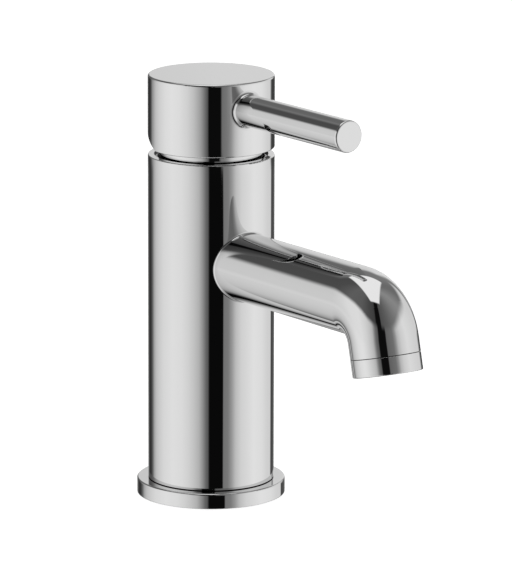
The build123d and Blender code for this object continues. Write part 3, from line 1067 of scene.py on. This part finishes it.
@dataclass(frozen=True)
class Walls:
    """Panels and flags round the mixer.

    A row of greys pairs a bearing, in degrees from the camera and positive to its right, with the
    grey that the wall gives on chrome there. A row of degrees pairs a bearing with an angle.

    Attributes:
        low: Greys that the column mirrors, below the eye row.
        eye: Greys that the head mirrors, just below the horizon.
        middle: Greys from the horizon up to the rim.
        high: Greys above the rim.
        rim: Elevation of the walls' upper edge.
        rim_blur: Half the width over which that edge fades.
        eye_joint: Elevations between which low gives way to eye.
        lower_joint: Elevations between which eye gives way to middle.
        ground: Elevations between which the walls give way to the ground.
        ground_grey: Grey that the ground gives on chrome.
        ceiling: The lamp panel overhead.
    """

    low: Stops = (
        (-180, 90), (-172, 150), (-165, 118), (-158, 62), (-147, 40), (-140, 66), (-134, 104),
        (-128, 158), (-120, 187), (-110, 201), (-97, 214), (-75, 222), (-55, 218), (-42, 208),
        (-32, 195), (-22, 176), (-14, 135), (-9, 99), (-5, 84), (-3.8, 9), (21.2, 9), (22.4, 112),
        (31, 121), (38, 150), (46, 188), (57, 208), (85, 224), (107, 219), (125, 206),
        (139.5, 200), (143, 58), (180, 100),
    )
    eye: Stops = (
        (-180, 130), (-166, 88), (-160, 60), (-152, 40), (-144, 58), (-140, 84), (-135, 134),
        (-128, 162), (-120, 189), (-108, 206), (-92, 219), (-76, 224), (-60, 220), (-44, 208),
        (-32, 190), (-20, 158), (-12, 115), (-8, 88), (-6.2, 86), (-5.2, 11), (17.8, 11),
        (19, 106), (28, 117), (36, 140), (44, 183), (52, 204), (64, 218), (84, 224), (104, 221),
        (124, 206), (134, 202), (142, 58),
    )
    middle: Stops = (
        (-180, 193), (-178.8, 187), (-173, 200), (-168, 110), (-160, 95), (-148, 75), (-138, 95),
        (-130, 120), (-122, 160), (-110, 196), (-88, 217), (-70, 219), (-55, 208), (-42, 192),
        (-35, 178), (-28, 125), (-24, 100), (-18.5, 88), (-16, 12), (6.5, 12), (8.5, 95),
        (30, 110), (38, 140), (46, 180), (58, 202), (80, 217), (130, 203), (148, 200), (153, 112),
        (158, 130), (164, 208), (180, 194),
    )
    high: Stops = (
        (-180, 104), (-165, 96), (-150, 100), (-142, 112), (-130, 70), (-110, 73), (-85, 92),
        (-60, 88), (-40, 70), (-22, 60), (-19, 12), (-4, 12), (-1.5, 76), (20, 90), (50, 112),
        (75, 128), (95, 134), (115, 120), (130, 105), (140, 104), (155, 118), (180, 112),
    )
    rim: Stops = (
        (-180, 24), (-150, 18), (-115, 20.5), (-95, 24), (-75, 28.5), (-60, 29), (-45, 26.5),
        (-30, 26), (30, 28), (45, 29), (65, 33), (85, 35), (105, 33), (125, 28), (145, 26),
        (165, 34), (178, 34),
    )
    rim_blur: Stops = (
        (-180, 6), (-150, 5), (-30, 5), (30, 6), (65, 8), (105, 8), (125, 6), (180, 7),
    )
    eye_joint: tuple[float, float] = (-11.55, -11.35)
    lower_joint: tuple[float, float] = (-9.0, -2.0)
    ground: tuple[float, float] = (-40.0, -70.0)
    ground_grey: float = 150.0
    ceiling: CeilingPanel = field(default_factory=CeilingPanel)


@dataclass
class Studio:
    """The lit room, the pale floor and the camera.

    Attributes:
        walls: The panels and flags.
        bearing: Camera's azimuth about the column in degrees.
        distance: Camera's level distance from the column's axis in metres.
        height: Camera's height above the deck in metres.
        pitch: Degrees that it looks down.
        aim: Degrees that it looks to the right of the axis.
        roll: Degrees that it is turned about its own line of sight.
        lens: Focal length in millimetres on a 36 mm frame.
        clip: Nearest and farthest distance that the camera sees, in metres.
        floor_size: Side of the floor in metres.
        floor_drop: How far it lies below the deck, in metres.
        floor_tone: Its own grey, and how strongly it glows.
    """

    walls: Walls = field(default_factory=Walls)
    bearing: float = -35.5
    distance: float = 1.8938
    height: float = 0.5033
    pitch: float = 12.73
    aim: float = 0.484
    roll: float = 0.15
    lens: float = 343.5
    clip: tuple[float, float] = (0.1, 20.0)
    floor_size: float = 12.0
    floor_drop: float = 0.2 * MM
    floor_tone: tuple[float, float] = (0.8, 0.78)

    def build(self) -> None:
        """Lights the room, lays the floor and sets up the camera."""
        self._room()
        self._floor()
        self._camera()

    @staticmethod
    def _row(shade: Shade, turn: Socket, stops: Stops, level: Callable[[float], float]) -> Socket:
        """Reads a row of stops at a bearing.

        Args:
            shade: The world's tree.
            turn: The bearing in degrees.
            stops: Pairs of bearing and value.
            level: Turns a stop's value into what the ramp holds.

        Returns:
            The value at that bearing.
        """
        place = shade.math("MULTIPLY_ADD", turn, 1 / FULL_TURN, 0.5)
        held = [(bearing / FULL_TURN + 0.5, level(value)) for bearing, value in stops]
        return shade.ramp(place, held)

    def _room(self) -> None:
        """Paints the walls and the ceiling on the world, with a white backdrop for the camera."""
        world = bpy.data.worlds.new("studio")
        world.use_nodes = True
        bpy.context.scene.world = world
        shade, walls = Shade(world.node_tree), self.walls
        turned = shade.node("Mapping")
        shade.feed(turned.inputs["Vector"], shade.node("TexCoord").outputs["Generated"])
        turned.inputs["Rotation"].default_value = (0.0, 0.0, math.radians(-self.bearing))
        axes = shade.node("SeparateXYZ")
        shade.feed(axes.inputs[0], turned.outputs[0])
        x, y, z = axes.outputs
        turn = shade.math("DEGREES", shade.math("ARCTAN2", x, shade.math("MULTIPLY", y, -1.0)))
        rise = shade.math("DEGREES", shade.math("ARCSINE", z))

        greys = (walls.low, walls.eye, walls.middle, walls.high)
        low, eye, middle, high = (self._row(shade, turn, row, on_chrome) for row in greys)
        rim, blur = (
            shade.math("MULTIPLY", self._row(shade, turn, row, share_of_quarter), QUARTER_TURN)
            for row in (walls.rim, walls.rim_blur)
        )
        level = shade.mix(shade.step(rise, *walls.eye_joint), low, eye)
        level = shade.mix(shade.step(rise, *walls.lower_joint), level, middle)
        over = shade.step(rise, shade.math("SUBTRACT", rim, blur), shade.math("ADD", rim, blur))
        level = shade.mix(over, level, high)
        level = shade.mix(self._ceiling(shade, x, y, z), level, on_chrome(walls.ceiling.grey))
        ground = shade.math("SUBTRACT", 1.0, shade.step(rise, walls.ground[1], walls.ground[0]))
        level = shade.mix(ground, level, on_chrome(walls.ground_grey))
        level = shade.mix(shade.node("LightPath").outputs["Is Camera Ray"], level, 1.0)
        light = shade.node("Background")
        shade.feed(light.inputs["Color"], level)
        shade.feed(shade.node("OutputWorld").inputs["Surface"], light.outputs[0])

    def _ceiling(self, shade: Shade, x: Socket, y: Socket, z: Socket) -> Socket:
        """Finds how much of the ceiling panel a direction meets.

        Args:
            shade: The world's tree.
            x: The direction's part to the camera's right.
            y: Its part away from the camera.
            z: Its part upwards.

        Returns:
            1 on the panel, 0 beside it.
        """
        panel = self.walls.ceiling
        up = shade.math("MAXIMUM", z, LEAST_RISE)
        across, along = shade.math("DIVIDE", x, up), shade.math("DIVIDE", y, up)
        sides = []
        for side, (foot, spread) in ((1.0, panel.left), (-1.0, panel.right)):
            line = shade.math("MULTIPLY_ADD", along, spread, foot)
            inside = shade.math("MULTIPLY", shade.math("SUBTRACT", across, line), side)
            sides.append(shade.step(inside, -panel.edge, panel.edge))
        towards = shade.math("MULTIPLY", along, -1.0)
        for way, side in ((along, panel.front), (towards, -panel.back)):
            sides.append(shade.step(way, side - panel.edge, side + panel.edge))
        covered = sides[0]
        for side in sides[1:]:
            covered = shade.math("MULTIPLY", covered, side)
        return shade.math("MULTIPLY", covered, shade.step(z, *panel.fade))

    def _floor(self) -> None:
        """Lays a pale floor under the mixer; the chrome mirrors the walls and not the floor."""
        mesh = bpy.data.meshes.new("floor")
        half = self.floor_size / 2
        square = ((-half, -half), (half, -half), (half, half), (-half, half))
        mesh.from_pydata([(x, y, -self.floor_drop) for x, y in square], [], [(0, 1, 2, 3)])
        floor = bpy.data.objects.new("floor", mesh)
        bpy.context.scene.collection.objects.link(floor)
        paper = bpy.data.materials.new("white_paper")
        paper.use_nodes = True
        shade = Shade(paper.node_tree)
        skin = shade.node("BsdfPrincipled")
        tone, glow = self.floor_tone
        matt = {
            "Base Color": (tone, tone, tone, 1.0),
            "Roughness": 1.0,
            "Specular IOR Level": 0.0,
            "Emission Color": (1.0, 1.0, 1.0, 1.0),
            "Emission Strength": glow,
        }
        for name, value in matt.items():
            skin.inputs[name].default_value = value
        shade.feed(shade.node("OutputMaterial").inputs["Surface"], skin.outputs[0])
        mesh.materials.append(paper)
        floor.visible_glossy = False

    def _camera(self) -> None:
        """Sets the camera where the walls expect it."""
        data = bpy.data.cameras.new("camera")
        data.lens, (data.clip_start, data.clip_end) = self.lens, self.clip
        camera = bpy.data.objects.new("camera", data)
        bpy.context.scene.collection.objects.link(camera)
        turn = math.radians(self.bearing)
        x, y = math.sin(turn) * self.distance, -math.cos(turn) * self.distance
        spot = Matrix.Translation((x, y, self.height))
        heading = Matrix.Rotation(math.radians(self.bearing - self.aim), 4, "Z")
        tilt = Matrix.Rotation(math.radians(QUARTER_TURN - self.pitch), 4, "X")
        roll = Matrix.Rotation(math.radians(self.roll), 4, "Z")
        camera.matrix_world = spot @ heading @ tilt @ roll
        bpy.context.scene.camera = camera
        bpy.context.scene.view_settings.view_transform = "Standard"


def main() -> None:
    """Builds the sub-assemblies in order, then the studio."""
    logging.basicConfig(level=logging.INFO, format="%(name)s: %(message)s")
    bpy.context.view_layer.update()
    dress_cad_nodes()
    spout = Spout()
    spout.build()
    Aerator(spout.outlet()).build()
    Lever().build()
    Studio().build()


if __name__ == "__main__":
    main()
